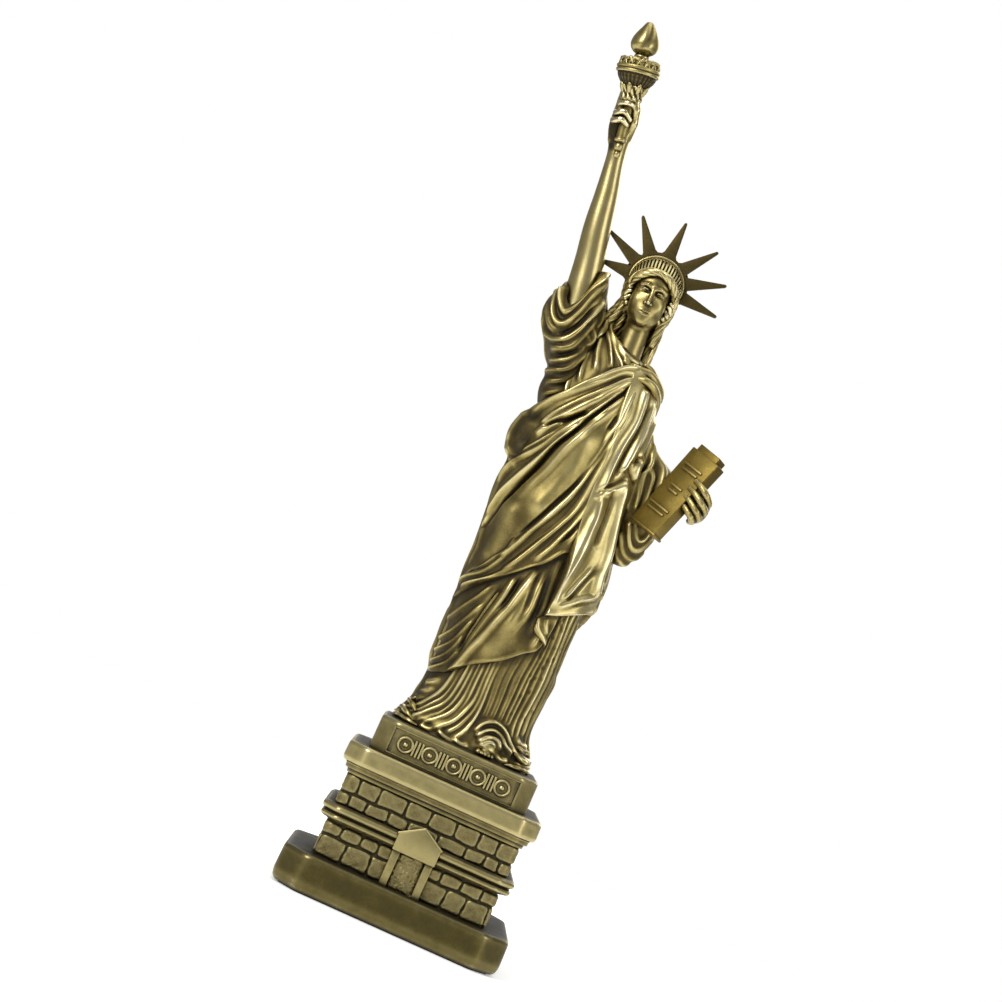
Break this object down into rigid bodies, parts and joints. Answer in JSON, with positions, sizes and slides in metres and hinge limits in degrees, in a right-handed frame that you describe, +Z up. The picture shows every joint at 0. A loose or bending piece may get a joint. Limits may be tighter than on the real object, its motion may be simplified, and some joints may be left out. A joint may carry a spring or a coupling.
{
  "type": "miniature landmark statuette",
  "caption": "Cast metal statuette of a robed figure raising a torch and holding a tablet, on a stepped stone-look pedestal.",
  "frame": {"origin": "middle of the underside that the part stands on", "axes": "+Z up towards the flame, -Y is the way the figure faces, +X is the figure's left"},
  "size_m": [0.0725, 0.062, 0.25],
  "materials": {
    "pedestal": "satin antique brass with a fine grain",
    "figure": "antique brass, bright on the rubbed folds and near black in the creases",
    "dark_brass": "darker satin brass",
    "steel": "plain",
    "felt": "black felt"
  },
  "bodies": {
    "root": {"felt_pad": "felt", "base_slab": "pedestal", "tie_screw": "steel", "screw_washer": "steel", "lower_wall": "pedestal", "door_frame": "pedestal", "door_panel": "pedestal", "belt_moulding": "pedestal", "upper_wall": "pedestal", "bed_moulding": "pedestal", "cornice_slab": "pedestal", "plinth_block": "pedestal", "frieze_plate": "pedestal", "locating_pins": "steel", "tunic": "figure", "mantle": "figure", "left_foot": "figure", "right_foot": "figure", "right_sleeve": "figure", "raised_arm": "figure", "arm_dowel": "steel", "torch_handle": "figure", "torch_gallery": "figure", "torch_flame": "figure", "left_sleeve": "figure", "left_hand": "figure", "tablet": "dark_brass", "tablet_pins": "steel", "head": "figure", "hair": "figure", "diadem": "figure", "ray_crown": "dark_brass"}
  },
  "joints": []
}
